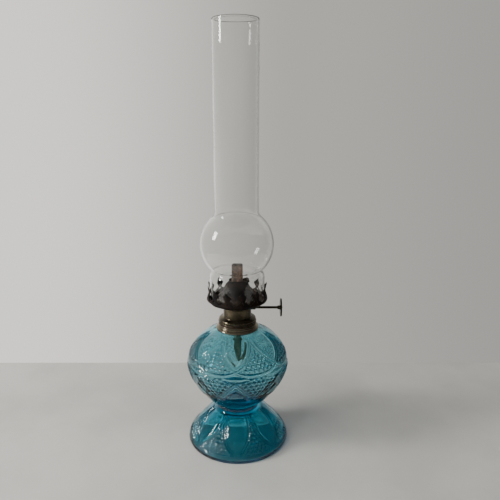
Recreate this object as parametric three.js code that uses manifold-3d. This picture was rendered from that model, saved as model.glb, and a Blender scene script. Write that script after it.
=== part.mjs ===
// A table oil lamp with a flat wick: a pressed glass font and foot in one piece, a brass collar cemented
// to its neck, a screw-in burner with a pronged gallery, a wick raiser with a thumbwheel, and a tall
// chimney with a round bulb. Millimetres, +Z up. The origin is on the lamp's axis at the foot's resting plane,
// and the thumbwheel points along +X.
import * as THREE from "three";
import { mergeVertices } from "three/addons/utils/BufferGeometryUtils.js";
import Module from "manifold-3d";

const wasm = await Module();
wasm.setup();

// ---------------------------------------------------------------- driving dimensions

const REST_GAP = 0.3; // between two pieces that rest on each other
const ROUND_STEPS = 36; // facets round a large turned piece
const SMALL_STEPS = 14; // facets round a small turned piece

// Pressed glass font and foot.
const FOOT_RADIUS = 46;
const FOOT_HEIGHT = 33; // resting plane to the waist
const FOOT_RIM = 4.5; // height of the plain rim band
const FOOT_WALL = 6.2;
const FOOT_HOLLOW = 19.5; // depth of the hollow under the foot
const WAIST_RADIUS = 18.2;
const FONT_RADIUS = 45;
const FONT_LOWER = 42; // waist to belly
const FONT_UPPER = 32.8; // belly to the collar's seat
const FONT_WALL = 4.2;
const FONT_FLOOR = 12.5; // solid glass above the waist
const NECK_RADIUS = 14.6;
const NECK_BORE = 11.5;
const NECK_HEIGHT = 2.5;

// Collar and its cement.
const COLLAR_HEIGHT = 5.6;
const COLLAR_BORE = 15.75;
const COLLAR_BEAD = 19.1; // radius over the lower bead
const COLLAR_LIP = 17.1; // radius over the upper bead
const CEMENT_HEIGHT = 1.6;

// Burner base, a spun shell with a screw skirt below its flange.
const SHEET = 0.7; // thickness of the burner's sheet brass
const SCREW_CLEARANCE = 0.45;
const SKIRT_DEPTH = 4.2;
const WASHER_THICKNESS = 0.7;
const FLANGE_RADIUS = 17;
const FLANGE_HEIGHT = 4.6;
const BARREL_RADIUS = 12.4;
const BARREL_HEIGHT = 13.8; // above the flange

// Wick, wick tube and vent tube.
const WICK_WIDTH = 9.8;
const WICK_THICKNESS = 2;
const WICK_LENGTH = 95.5;
const WICK_SHOW = 15.5; // wick above the cone
const WICK_CLEARANCE = 0.35;
const TUBE_WALL = 0.6;
const TUBE_BELOW_PLATE = 4.5;
const TUBE_BELOW_CONE = 2.6;
const VENT_RADIUS = 1.6;
const VENT_OFFSET = 6.2; // vent tube's axis behind the wick
const VENT_HEIGHT = 12;

// Wick raiser.
const SPINDLE_RADIUS = 1.1;
const SPINDLE_CLEARANCE = 0.3;
const SPINDLE_HEIGHT = 14.6; // axis above the flange's underside
const RATCHET_RADIUS = 4.3;
const RATCHET_TEETH = 12;
const RATCHET_WIDTH = 1.8;
const RATCHET_SPREAD = 2.5; // each ratchet wheel's middle from the wick's middle
const RATCHET_HUB = 0.3; // gap between a ratchet wheel's bore and the spindle, filled with solder
const EAR_THICKNESS = 0.8;
const BRACKET_RAIL = 1; // strip above and below the bracket's windows
const GUIDE_RADIUS = 1.95;
const GUIDE_LENGTH = 4;
const THUMB_RADIUS = 8;
const THUMB_THICKNESS = 1.4;
const THUMB_REACH = 38.4; // thumbwheel's middle from the lamp's axis
const THUMB_NOTCHES = 24;

// Gallery, cone and air screen.
const GALLERY_DEPTH = 4.8; // bowl's underside to its rim
const GALLERY_CLEARANCE = 0.35; // barrel to the gallery's hole
const PRONG_COUNT = 12;
const PRONG_HEIGHT = 11.6;
const PRONG_TURN = 12; // degrees from +X to the nearest prong
const PRONG_CLEARANCE = 0.35; // prong's belly to the chimney
const LEAF_WIDTH = 7.8;
const AIR_HOLE_RADIUS = 1.2;
const CONE_RADIUS = 19.8;
const CONE_HEIGHT = 17.2;
const SLOT_MARGIN = 1.1; // wick to the edge of the cone's slot

// Chimney.
const CHIMNEY_LENGTH = 229;
const CHIMNEY_WALL = 1.8;
const FITTER_RADIUS = 24;
const FITTER_HEIGHT = 24;
const CHIMNEY_NECK = 20.9; // radius of the crease between fitter and bulb
const BULB_RADIUS = 31.9;
const STACK_RADIUS = 18.9;

// ---------------------------------------------------------------- heights that follow from them

const beltZ = FOOT_HEIGHT + FONT_LOWER; // widest part of the font
const seatZ = beltZ + FONT_UPPER; // glass shoulder under the collar
const collarZ = seatZ + REST_GAP;
const collarTopZ = collarZ + COLLAR_HEIGHT;
const washerZ = collarTopZ + REST_GAP;
const flangeZ = washerZ + WASHER_THICKNESS + REST_GAP;
const shoulderZ = flangeZ + FLANGE_HEIGHT; // flange's top, foot of the barrel
const barrelTopZ = shoulderZ + BARREL_HEIGHT;
const galleryZ = barrelTopZ - SHEET - REST_GAP; // underside of the gallery's bowl
const rimZ = galleryZ + GALLERY_DEPTH; // rim of the bowl, where the prongs start
const spindleZ = flangeZ + SPINDLE_HEIGHT;
const plateZ = flangeZ - 2; // underside of the base plate

const tubeInside = { x: WICK_WIDTH / 2 + WICK_CLEARANCE, y: WICK_THICKNESS / 2 + WICK_CLEARANCE };
const tubeOutside = { x: tubeInside.x + TUBE_WALL, y: tubeInside.y + TUBE_WALL };
const spindleY = -(WICK_THICKNESS / 2 + REST_GAP + RATCHET_RADIUS);
const skirtRadius = COLLAR_BORE - SCREW_CLEARANCE;
const skirtBore = skirtRadius - SHEET;
const barrelBore = BARREL_RADIUS - SHEET;
const prongBelly = FITTER_RADIUS + PRONG_CLEARANCE + SHEET;
const galleryRadius = prongBelly + 1.55;
const screenZ = galleryZ + 2; // underside of the air screen
const coneZ = screenZ + SHEET + REST_GAP;
const coneTopZ = coneZ + CONE_HEIGHT;
const chimneyZ = galleryZ + 3.8;
const wickTopZ = coneTopZ + WICK_SHOW;

// ---------------------------------------------------------------- shapes

const finishes = {
  blue_glass: new THREE.MeshStandardMaterial({
    color: 0x2f8ea6,
    roughness: 0.08,
    transparent: true,
    opacity: 0.6,
  }),
  clear_glass: new THREE.MeshStandardMaterial({
    color: 0xe6ece8,
    roughness: 0.04,
    transparent: true,
    opacity: 0.3,
  }),
  aged_brass: new THREE.MeshStandardMaterial({ color: 0x6e5a3c, roughness: 0.38, metalness: 1 }),
  sooty_brass: new THREE.MeshStandardMaterial({ color: 0x2f2a27, roughness: 0.6, metalness: 0.8 }),
  wick_cotton: new THREE.MeshStandardMaterial({ color: 0x4f4038, roughness: 0.95 }),
  plaster: new THREE.MeshStandardMaterial({ color: 0xcfc8b8, roughness: 0.9 }),
  cork: new THREE.MeshStandardMaterial({ color: 0x5a4433, roughness: 0.9 }),
};

const point = (r, z) => new THREE.Vector2(r, z);

// Points of a quadratic curve from a to b that bends towards c, without a itself.
function bend(a, c, b, steps) {
  return new THREE.QuadraticBezierCurve(a, c, b).getPoints(steps).slice(1);
}

// Points of an arc about (r, z), with its own radius along each axis, angles in degrees from +r towards +z.
function arc(r, z, rx, rz, from, to, steps) {
  return Array.from({ length: steps + 1 }, (_, i) => {
    const a = THREE.MathUtils.degToRad(from + ((to - from) * i) / steps);
    return point(r + rx * Math.cos(a), z + rz * Math.sin(a));
  });
}

// A closed outline from an open list of points.
const closed = (points) => [...points, points[0].clone()];

// Outline of a thin shell: the outer line and the same line moved in by the sheet's thickness.
function shellOutline(outer, thickness) {
  const curve = outer.map((p, i) => {
    const before = outer[Math.max(i - 1, 0)];
    const after = outer[Math.min(i + 1, outer.length - 1)];
    const along = after.clone().sub(before).normalize();
    return p.clone().add(point(-along.y, along.x).multiplyScalar(thickness));
  });
  return closed([...outer, ...curve.reverse()]);
}

// A solid of revolution about Z. The outline is (radius, height), closed or with both ends on the axis.
function turned(outline, steps = ROUND_STEPS) {
  const area = THREE.ShapeUtils.area(outline);
  const points = area > 0 ? outline : [...outline].reverse();
  return new THREE.LatheGeometry(points, steps).rotateX(Math.PI / 2);
}

// A prism of an XY outline, standing on height z.
function prism(points, z, height) {
  const shape = new THREE.Shape(points);
  return new THREE.ExtrudeGeometry(shape, { depth: height, bevelEnabled: false }).translate(0, 0, z);
}

function block(x0, x1, y0, y1, z0, z1) {
  const box = new THREE.BoxGeometry(x1 - x0, y1 - y0, z1 - z0);
  return box.translate((x0 + x1) / 2, (y0 + y1) / 2, (z0 + z1) / 2);
}

// A round bar along Z or along X.
function barZ(radius, x, y, z0, z1, steps = SMALL_STEPS) {
  return new THREE.CylinderGeometry(radius, radius, z1 - z0, steps)
    .rotateX(Math.PI / 2)
    .translate(x, y, (z0 + z1) / 2);
}
function barX(radius, y, z, x0, x1, steps = SMALL_STEPS) {
  return new THREE.CylinderGeometry(radius, radius, x1 - x0, steps)
    .rotateZ(Math.PI / 2)
    .translate((x0 + x1) / 2, y, z);
}

// ---------------------------------------------------------------- joining and cutting

function solid(geometry) {
  const bare = geometry.clone();
  bare.deleteAttribute("normal");
  bare.deleteAttribute("uv");
  const merged = mergeVertices(bare, 1e-4);
  const triangles = [];
  for (let i = 0; i < merged.index.count; i += 3) {
    const [a, b, c] = merged.index.array.slice(i, i + 3);
    if (a !== b && b !== c && c !== a) triangles.push(a, b, c);
  }
  return new wasm.Manifold(
    new wasm.Mesh({
      numProp: 3,
      vertProperties: new Float32Array(merged.attributes.position.array),
      triVerts: Uint32Array.from(triangles),
    }),
  );
}

function geometryOf(made) {
  const mesh = made.getMesh();
  return new THREE.BufferGeometry()
    .setAttribute("position", new THREE.BufferAttribute(Float32Array.from(mesh.vertProperties), 3))
    .setIndex(new THREE.BufferAttribute(Uint32Array.from(mesh.triVerts), 1));
}

// One geometry with several others cut out of it.
function cut(geometry, tools) {
  return geometryOf(tools.reduce((left, tool) => left.subtract(solid(tool)), solid(geometry)));
}

// The same geometry turned to each of count places round the lamp's axis.
function around(count, firstDegrees, make) {
  return Array.from({ length: count }, (_, i) =>
    make(i).rotateZ(THREE.MathUtils.degToRad(firstDegrees + (360 * i) / count)),
  );
}

const lamp = new THREE.Group();
function add(name, geometry, finish) {
  const mesh = new THREE.Mesh(geometry, finishes[finish]);
  mesh.name = name;
  lamp.add(mesh);
}

// ---------------------------------------------------------------- pressed glass

// Font and foot are one pressing: a foot hollow underneath, a solid waist and a hollow font with a short neck.
function glassBody() {
  const rim = FOOT_RADIUS - 0.8;
  const outside = [
    point(rim, 0),
    point(FOOT_RADIUS, 1.2),
    point(FOOT_RADIUS, FOOT_RIM - 1.3),
    point(rim, FOOT_RIM),
    ...bend(
      point(rim, FOOT_RIM),
      point(FOOT_RADIUS - 10, FOOT_HEIGHT / 2),
      point(WAIST_RADIUS, FOOT_HEIGHT - 0.8),
      6,
    ),
    point(WAIST_RADIUS, FOOT_HEIGHT + 1.2),
    ...bend(
      point(WAIST_RADIUS, FOOT_HEIGHT + 1.2),
      point(WAIST_RADIUS, FOOT_HEIGHT + 4),
      point(WAIST_RADIUS + 4, FOOT_HEIGHT + 7),
      3,
    ),
    ...bend(
      point(WAIST_RADIUS + 4, FOOT_HEIGHT + 7),
      point(FONT_RADIUS - 5.5, beltZ - 19),
      point(FONT_RADIUS, beltZ),
      7,
    ),
  ];
  // The upper half is a quarter of an ellipse, cut off level at the collar's seat.
  const seatRadius = COLLAR_BEAD + 0.8;
  const crown = FONT_UPPER / Math.sqrt(1 - (seatRadius / FONT_RADIUS) ** 2);
  const seatAngle = THREE.MathUtils.radToDeg(Math.asin(FONT_UPPER / crown));
  outside.push(...arc(0, beltZ, FONT_RADIUS, crown, 0, seatAngle, 7).slice(1));
  const neckZ = seatZ + NECK_HEIGHT;
  outside.push(point(NECK_RADIUS, seatZ), point(NECK_RADIUS, neckZ), point(NECK_BORE, neckZ));

  const cavity = FONT_RADIUS - FONT_WALL;
  const cavityCrown = crown - FONT_WALL;
  const boreAngle = THREE.MathUtils.radToDeg(Math.acos(NECK_BORE / cavity));
  const floorZ = FOOT_HEIGHT + FONT_FLOOR;
  const inside = [
    ...arc(0, beltZ, cavity, cavityCrown, boreAngle, 0, 6),
    ...bend(point(cavity, beltZ), point(cavity - 4, floorZ + 6), point(NECK_BORE, floorZ), 5),
    point(0, floorZ),
  ];
  const footBore = FOOT_RADIUS - FOOT_WALL;
  const underside = [
    point(0, FOOT_HOLLOW),
    point(10, FOOT_HOLLOW),
    ...bend(point(10, FOOT_HOLLOW), point(footBore - 8, FOOT_HOLLOW - 5), point(footBore, 0), 5),
  ];
  return turned([...underside, ...outside, ...inside]);
}

// ---------------------------------------------------------------- collar, cement and washer

function collar() {
  const bead = (COLLAR_HEIGHT * 0.56) / 2;
  const lip = (COLLAR_HEIGHT * 0.36) / 2;
  return turned(
    closed([
      point(COLLAR_BORE + 0.5, collarZ),
      point(COLLAR_BEAD - bead, collarZ),
      ...arc(COLLAR_BEAD - bead, collarZ + bead, bead, bead, -90, 90, 5).slice(1),
      ...arc(COLLAR_LIP - lip, collarTopZ - lip, lip, lip, -60, 90, 4),
      point(COLLAR_BORE, collarTopZ),
      point(COLLAR_BORE, collarZ + CEMENT_HEIGHT + 0.6),
      point(COLLAR_BORE + 0.5, collarZ + CEMENT_HEIGHT + 0.3),
    ]),
  );
}

function cement() {
  const low = seatZ + REST_GAP;
  const high = low + CEMENT_HEIGHT;
  const inner = NECK_RADIUS + REST_GAP;
  const outer = COLLAR_BORE + 0.5 - REST_GAP;
  return turned(
    closed([point(inner, low), point(outer, low), point(outer, high), point(inner, high)]),
  );
}

function washer() {
  const inner = skirtRadius + REST_GAP;
  const outer = FLANGE_RADIUS - 0.6;
  const top = washerZ + WASHER_THICKNESS;
  return turned(closed([point(inner, washerZ), point(outer, washerZ), point(outer, top), point(inner, top)]));
}

// ---------------------------------------------------------------- burner shell

// Screw skirt, rounded flange and straight barrel in one spun shell, with a hole for the spindle.
function burnerBase() {
  const roll = FLANGE_RADIUS - BARREL_RADIUS;
  const outer = [
    point(skirtRadius, flangeZ - SKIRT_DEPTH),
    point(skirtRadius, flangeZ),
    point(FLANGE_RADIUS - 0.4, flangeZ),
    ...arc(BARREL_RADIUS, flangeZ + 1.4, roll, FLANGE_HEIGHT - 1.4, 0, 78, 4),
    point(BARREL_RADIUS, shoulderZ + 0.6),
    point(BARREL_RADIUS, barrelTopZ),
  ];
  const inner = [
    point(barrelBore, barrelTopZ),
    point(barrelBore, shoulderZ - SHEET),
    ...arc(barrelBore, flangeZ + 1.4, roll, FLANGE_HEIGHT - 1.4 - SHEET, 70, 0, 3),
    point(FLANGE_RADIUS - SHEET - 0.4, flangeZ + SHEET),
    point(skirtBore, flangeZ + SHEET),
    point(skirtBore, flangeZ - SKIRT_DEPTH),
  ];
  const spindleHole = barX(SPINDLE_RADIUS + SPINDLE_CLEARANCE, spindleY, spindleZ, 0, BARREL_RADIUS + 4);
  return cut(turned(closed([...outer, ...inner])), [spindleHole]);
}

// Disc that closes the burner's skirt and carries the wick tube and the vent tube.
function basePlate() {
  const disc = barZ(skirtBore - REST_GAP, 0, 0, plateZ, plateZ + SHEET, ROUND_STEPS);
  return cut(disc, [tubeHole(plateZ), ventHole(plateZ)]);
}

const tubeHole = (z) =>
  block(
    -tubeOutside.x - REST_GAP,
    tubeOutside.x + REST_GAP,
    -tubeOutside.y - REST_GAP,
    tubeOutside.y + REST_GAP,
    z - 2,
    z + 2,
  );
const ventHole = (z) => barZ(VENT_RADIUS + REST_GAP, 0, VENT_OFFSET, z - 2, z + 2, 12);

// ---------------------------------------------------------------- wick tube, vent tube and wick

function wickTube() {
  const low = plateZ - TUBE_BELOW_PLATE;
  const high = coneTopZ - TUBE_BELOW_CONE;
  const body = block(-tubeOutside.x, tubeOutside.x, -tubeOutside.y, tubeOutside.y, low, high);
  const bore = block(-tubeInside.x, tubeInside.x, -tubeInside.y, tubeInside.y, low - 1, high + 1);
  return cut(body, [bore, ...ratchetWindows(-tubeOutside.y)]);
}

// Half the height of a window through which a ratchet wheel passes a face at y.
function windowHalf(face) {
  const depth = Math.min(Math.abs(face - spindleY), RATCHET_RADIUS);
  return Math.sqrt(RATCHET_RADIUS ** 2 - depth ** 2) + 0.7;
}

// Openings in a face at y for the two ratchet wheels to reach the wick.
function ratchetWindows(face) {
  const half = windowHalf(face);
  return [-1, 1].map((side) => {
    const x = side * RATCHET_SPREAD;
    const wide = RATCHET_WIDTH / 2 + REST_GAP;
    return block(x - wide, x + wide, face - 0.5, -WICK_THICKNESS / 2, spindleZ - half, spindleZ + half);
  });
}

function ventTube() {
  const low = plateZ - 1.5;
  const tube = barZ(VENT_RADIUS, 0, VENT_OFFSET, low, low + VENT_HEIGHT, 12);
  return cut(tube, [barZ(VENT_RADIUS - 0.5, 0, VENT_OFFSET, low - 1, low + VENT_HEIGHT + 1, 12)]);
}

// Flat woven wick with worn top corners and a slanted, pointed tail that hangs in the font.
function wick() {
  const half = WICK_WIDTH / 2;
  const tail = wickTopZ - WICK_LENGTH;
  const outline = [
    point(-half, tail + 16),
    point(0.8, tail),
    point(half, tail + 9),
    point(half, wickTopZ - 0.8),
    point(half - 0.8, wickTopZ),
    point(-half + 1.9, wickTopZ),
    point(-half, wickTopZ - 1.9),
  ];
  return prism(outline, -WICK_THICKNESS / 2, WICK_THICKNESS).rotateX(Math.PI / 2);
}

// ---------------------------------------------------------------- wick raiser

// Saddle on the wick tube's face: a back with windows for the ratchet wheels and two ears that carry the spindle.
function spindleBracket() {
  const back = -tubeOutside.y - REST_GAP;
  const out = tubeOutside.x - 0.2;
  const reach = spindleY - SPINDLE_RADIUS - 1.6;
  const inner = out - EAR_THICKNESS;
  const front = back - EAR_THICKNESS;
  const half = windowHalf(front) + BRACKET_RAIL;
  const u = [
    point(-out, back),
    point(-out, reach),
    point(-inner, reach),
    point(-inner, front),
    point(inner, front),
    point(inner, reach),
    point(out, reach),
    point(out, back),
  ];
  const saddle = prism(u, spindleZ - half, 2 * half);
  const journal = barX(SPINDLE_RADIUS + SPINDLE_CLEARANCE, spindleY, spindleZ, -out - 1, out + 1);
  return cut(saddle, [journal, ...ratchetWindows(front)]);
}

function spindle() {
  const start = -tubeOutside.x - 1.2;
  return barX(SPINDLE_RADIUS, spindleY, spindleZ, start, THUMB_REACH + THUMB_THICKNESS / 2 + 0.8);
}

// A wheel of triangular teeth about the spindle, with a bore for it. Its middle is at x.
function ratchetWheel(x) {
  const teeth = Array.from({ length: RATCHET_TEETH * 2 }, (_, i) => {
    const a = (Math.PI * i) / RATCHET_TEETH;
    const r = i % 2 ? RATCHET_RADIUS - 0.9 : RATCHET_RADIUS;
    return point(r * Math.cos(a), r * Math.sin(a));
  });
  return wheelOnSpindle(prism(teeth, -RATCHET_WIDTH / 2, RATCHET_WIDTH), x);
}

// Thin disc with a milled edge and a boss on the lamp's side.
function thumbwheel() {
  const edge = Array.from({ length: THUMB_NOTCHES * 2 }, (_, i) => {
    const a = (Math.PI * i) / THUMB_NOTCHES;
    const r = i % 2 ? THUMB_RADIUS - 0.5 : THUMB_RADIUS;
    return point(r * Math.cos(a), r * Math.sin(a));
  });
  const disc = solid(prism(edge, -THUMB_THICKNESS / 2, THUMB_THICKNESS));
  const boss = turned(
    [point(0, -3), point(2, -3), point(2.8, -THUMB_THICKNESS / 2 - 0.4), point(2.8, 0), point(0, 0)],
    SMALL_STEPS,
  );
  return wheelOnSpindle(geometryOf(disc.add(solid(boss))), THUMB_REACH);
}

// Bores a wheel made about Z for the spindle and turns it onto the spindle's axis at x.
function wheelOnSpindle(geometry, x) {
  const bore = barZ(SPINDLE_RADIUS + RATCHET_HUB, 0, 0, -10, 10);
  return cut(geometry, [bore]).rotateY(Math.PI / 2).translate(x, spindleY, spindleZ);
}

// Short sleeve outside the barrel that guides the spindle.
function spindleGuide() {
  const wall = Math.sqrt(BARREL_RADIUS ** 2 - (Math.abs(spindleY) - GUIDE_RADIUS) ** 2);
  const from = wall + REST_GAP;
  const sleeve = barX(GUIDE_RADIUS, spindleY, spindleZ, from, from + GUIDE_LENGTH);
  const bore = SPINDLE_RADIUS + SPINDLE_CLEARANCE;
  return cut(sleeve, [barX(bore, spindleY, spindleZ, from - 1, from + GUIDE_LENGTH + 1)]);
}

// Ring that stops the spindle from sliding out, between the left ear and the spindle's end.
function spindleStop() {
  const from = tubeOutside.x + REST_GAP;
  const ring = barX(SPINDLE_RADIUS + 1, spindleY, spindleZ, from, from + 1.2);
  return cut(ring, [barX(SPINDLE_RADIUS + RATCHET_HUB, spindleY, spindleZ, from - 1, from + 3)]);
}

// ---------------------------------------------------------------- gallery, air screen and cone

// Half the width of a prong at a share of its height: a broad root, a narrow neck, a round leaf and a fine tip.
const prongShape = [
  [0.0, 5.2],
  [0.08, 3.6],
  [0.2, 1.7],
  [0.36, 0.41 * LEAF_WIDTH],
  [0.5, 0.5 * LEAF_WIDTH],
  [0.68, 0.4 * LEAF_WIDTH],
  [0.82, 1.2],
  [0.92, 0.5],
  [1.0, 0.3],
];

// A bowl with a pierced wall whose rim is cut into leaf-shaped prongs that spring against the chimney.
function gallery() {
  const g = galleryRadius;
  const hole = BARREL_RADIUS + GALLERY_CLEARANCE;
  const outer = [
    point(hole, galleryZ),
    point(g - 4.6, galleryZ + 1),
    point(g - 2.6, galleryZ + 2),
    point(g - 0.8, galleryZ + 3.4),
    point(g, rimZ),
    point(prongBelly + 0.6, rimZ + 0.28 * PRONG_HEIGHT),
    point(prongBelly, rimZ + 0.5 * PRONG_HEIGHT),
    point(prongBelly + 0.4, rimZ + 0.7 * PRONG_HEIGHT),
    point(prongBelly + 1.4, rimZ + 0.86 * PRONG_HEIGHT),
    point(prongBelly + 2.4, rimZ + PRONG_HEIGHT),
  ];
  const bowl = turned(shellOutline(outer, SHEET));
  const pitch = (Math.PI * g) / PRONG_COUNT; // half the distance between two prongs
  const gapSide = prongShape.map(([share, half]) => {
    return point(Math.max(pitch - half, 0.4), rimZ + share * PRONG_HEIGHT);
  });
  const top = point(pitch + 0.5, rimZ + PRONG_HEIGHT + 2);
  const side = [...gapSide, top];
  const gap = [...side, ...side.map((p) => point(-p.x, p.y)).reverse()];
  const gaps = around(PRONG_COUNT, PRONG_TURN + 180 / PRONG_COUNT, () => radialPrism(gap, g - 8, g + 8));
  const piercing = [point(-1.4, rimZ - 0.9), point(1.4, rimZ - 0.9), point(0, rimZ + 1.5)];
  const holes = around(PRONG_COUNT, PRONG_TURN, () => radialPrism(piercing, g - 5, g + 5));
  const airHoles = around(PRONG_COUNT, PRONG_TURN, () => {
    return barZ(AIR_HOLE_RADIUS, g - 8.2, 0, galleryZ - 3, galleryZ + 4, 8);
  });
  return cut(bowl, [...gaps, ...holes, ...airHoles]);
}

// An outline given as (across, height), pushed out along +X from one radius to another.
function radialPrism(outline, from, to) {
  return prism(outline, 0, to - from)
    .rotateX(Math.PI / 2)
    .rotateZ(Math.PI / 2)
    .translate(from, 0, 0);
}

// Perforated disc that rests in the bowl and spreads the air that rises to the flame.
function airScreen() {
  const disc = barZ(galleryRadius - 5, 0, 0, screenZ, screenZ + SHEET, ROUND_STEPS);
  const ring = around(PRONG_COUNT, PRONG_TURN, () => {
    return barZ(AIR_HOLE_RADIUS, 14, 0, screenZ - 2, screenZ + 3, 8);
  });
  const wheelRoom = block(
    -tubeOutside.x - REST_GAP,
    tubeOutside.x + REST_GAP,
    spindleY - RATCHET_RADIUS - 0.5,
    0,
    screenZ - 2,
    screenZ + 3,
  );
  return cut(disc, [tubeHole(screenZ), wheelRoom, ...ring]);
}

// Domed flame deflector with a slot for the wick.
function cone() {
  const r = CONE_RADIUS;
  const h = CONE_HEIGHT;
  const outer = [
    point(r, coneZ),
    point(0.88 * r, coneZ + 0.14 * h),
    point(0.79 * r, coneZ + 0.29 * h),
    point(0.7 * r, coneZ + 0.45 * h),
    point(0.6 * r, coneZ + 0.62 * h),
    point(0.48 * r, coneZ + 0.79 * h),
    point(0.36 * r, coneZ + 0.91 * h),
    point(0.22 * r, coneZ + 0.98 * h),
    point(0, coneTopZ),
  ];
  const inner = outer.map((p) => point(p.x * (1 - SHEET / r), p.y - (p.y > coneZ ? SHEET : 0))).reverse();
  const slotX = WICK_WIDTH / 2 + SLOT_MARGIN;
  const slotY = WICK_THICKNESS / 2 + SLOT_MARGIN;
  return cut(turned([...inner, ...outer]), [block(-slotX, slotX, -slotY, slotY, coneTopZ - 6, coneTopZ + 4)]);
}

// ---------------------------------------------------------------- chimney

// Straight fitter, a crease, a round bulb and a long straight stack, all one blown wall open at both ends.
function chimney() {
  const wall = CHIMNEY_WALL;
  const top = chimneyZ + CHIMNEY_LENGTH;
  const creaseZ = chimneyZ + FITTER_HEIGHT + 1.4;
  const lowAngle = THREE.MathUtils.radToDeg(Math.acos(CHIMNEY_NECK / BULB_RADIUS));
  const highAngle = THREE.MathUtils.radToDeg(Math.acos((STACK_RADIUS + 1) / BULB_RADIUS));
  const bulbZ = creaseZ + BULB_RADIUS * Math.sin(THREE.MathUtils.degToRad(lowAngle));
  const stackZ = bulbZ + Math.sqrt(BULB_RADIUS ** 2 - STACK_RADIUS ** 2) + 2;
  const outside = [
    point(FITTER_RADIUS, chimneyZ),
    point(FITTER_RADIUS, creaseZ - 2.6),
    point(FITTER_RADIUS - 0.5, creaseZ - 1.2),
    ...arc(0, bulbZ, BULB_RADIUS, BULB_RADIUS, -lowAngle, highAngle, 11),
    point(STACK_RADIUS, stackZ),
    point(STACK_RADIUS, top),
  ];
  const inner = BULB_RADIUS - wall;
  const inside = [
    point(STACK_RADIUS - wall, top),
    point(STACK_RADIUS - wall, stackZ),
    ...arc(0, bulbZ, inner, inner, highAngle, -lowAngle, 11),
    point(FITTER_RADIUS - wall, creaseZ - 3.4),
    point(FITTER_RADIUS - wall, chimneyZ),
  ];
  return turned(closed([...outside, ...inside]));
}

// ---------------------------------------------------------------- the lamp

add("glass_font_and_foot", glassBody(), "blue_glass");
add("collar", collar(), "aged_brass");
add("collar_cement", cement(), "plaster");
add("burner_washer", washer(), "cork");
add("burner_base", burnerBase(), "aged_brass");
add("base_plate", basePlate(), "aged_brass");
add("wick_tube", wickTube(), "aged_brass");
add("vent_tube", ventTube(), "aged_brass");
add("spindle_bracket", spindleBracket(), "aged_brass");
add("spindle_guide", spindleGuide(), "aged_brass");
add("air_screen", airScreen(), "sooty_brass");
add("gallery", gallery(), "sooty_brass");
add("cone", cone(), "sooty_brass");
add("spindle", spindle(), "sooty_brass");
add("spindle_stop", spindleStop(), "aged_brass");
add("ratchet_wheel_left", ratchetWheel(-RATCHET_SPREAD), "aged_brass");
add("ratchet_wheel_right", ratchetWheel(RATCHET_SPREAD), "aged_brass");
add("thumbwheel", thumbwheel(), "sooty_brass");
add("wick", wick(), "wick_cotton");
add("chimney", chimney(), "clear_glass");

export default lamp;
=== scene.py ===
"""Looks of a table oil lamp: pressed blue glass, old brass, a sooty gallery, a wick and a blown chimney.

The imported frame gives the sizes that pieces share. New pieces are surfaces worked out on grids of two
parameters, in millimetres in the frame's own axes, and go into Blender in metres.
"""

import bpy
import numpy as np
from mathutils import Matrix, Vector


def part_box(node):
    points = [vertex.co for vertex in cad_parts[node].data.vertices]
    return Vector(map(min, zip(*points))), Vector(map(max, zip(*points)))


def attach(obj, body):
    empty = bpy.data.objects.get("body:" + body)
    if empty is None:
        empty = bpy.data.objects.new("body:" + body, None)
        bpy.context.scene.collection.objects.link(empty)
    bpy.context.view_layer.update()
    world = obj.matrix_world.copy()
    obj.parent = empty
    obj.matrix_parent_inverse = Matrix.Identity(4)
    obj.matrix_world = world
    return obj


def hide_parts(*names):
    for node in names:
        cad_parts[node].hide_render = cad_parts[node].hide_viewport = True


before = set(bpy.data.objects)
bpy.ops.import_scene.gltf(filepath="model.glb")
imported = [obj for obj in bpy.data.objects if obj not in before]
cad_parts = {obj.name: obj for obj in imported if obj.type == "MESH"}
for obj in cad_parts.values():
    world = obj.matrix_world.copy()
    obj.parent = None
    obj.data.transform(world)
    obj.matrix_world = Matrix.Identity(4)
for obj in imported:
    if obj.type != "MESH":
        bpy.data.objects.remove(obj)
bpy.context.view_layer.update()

MM = 0.001
TAU = 2 * np.pi


# ------------------------------------------------------------------ sizes from the frame, in millimetres


class Extent:
    """A frame node's lowest and highest corner in millimetres, and its radius about the lamp's axis."""

    def __init__(self, node):
        low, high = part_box(node)
        self.x0, self.y0, self.z0 = (c / MM for c in low)
        self.x1, self.y1, self.z1 = (c / MM for c in high)
        self.r = (self.x1 - self.x0) / 2


glass = Extent("glass_font_and_foot")
collar = Extent("collar")
cement = Extent("collar_cement")
washer = Extent("burner_washer")
base = Extent("burner_base")
gallery = Extent("gallery")
cone = Extent("cone")
spindle = Extent("spindle")
wheel = Extent("thumbwheel")
guide = Extent("spindle_guide")
stop = Extent("spindle_stop")
tube = Extent("wick_tube")
wick = Extent("wick")
chimney = Extent("chimney")
ratchets = {name: Extent(name) for name in ("ratchet_wheel_left", "ratchet_wheel_right")}

SPINDLE_Y = (spindle.y0 + spindle.y1) / 2
SPINDLE_Z = (spindle.z0 + spindle.z1) / 2
SPINDLE_R = (spindle.z1 - spindle.z0) / 2
SEAT_Z = collar.z0 - 0.3  # glass shoulder under the collar


# ------------------------------------------------------------------ the looks' own sizes and colours

SECTORS = 7  # repeats of the pressed pattern round the lamp
SECTOR = 360 / SECTORS
PATTERN_TURN = -1.0  # degrees from the front to the middle of a petal
RELIEF_MOST = 1.45  # height of the pattern
NECK_R, NECK_BORE = 14.6, 11.5
FITTER_R, STACK_R = 24.0, 18.9  # the chimney's lower and upper pipe
CHIMNEY_WALL = 1.25
SHEET = 0.55  # sheet brass
BARREL_R = 12.4
RIM_R = 26.6  # the gallery's rim
PRONGS = 12
PRONG_TURN = 12.0  # degrees from +X to the first prong
SPINDLE_FIT = 0.12  # between the spindle and what sits on it
BRAID_ROW, BRAID_RIB = 0.9, 0.8  # from one row or rib of the wick's braid to the next
WEAVE_ROWS, WEAVE_RIBS = 6980.0, 7850.0  # the same in its material, as radians per metre

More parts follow.
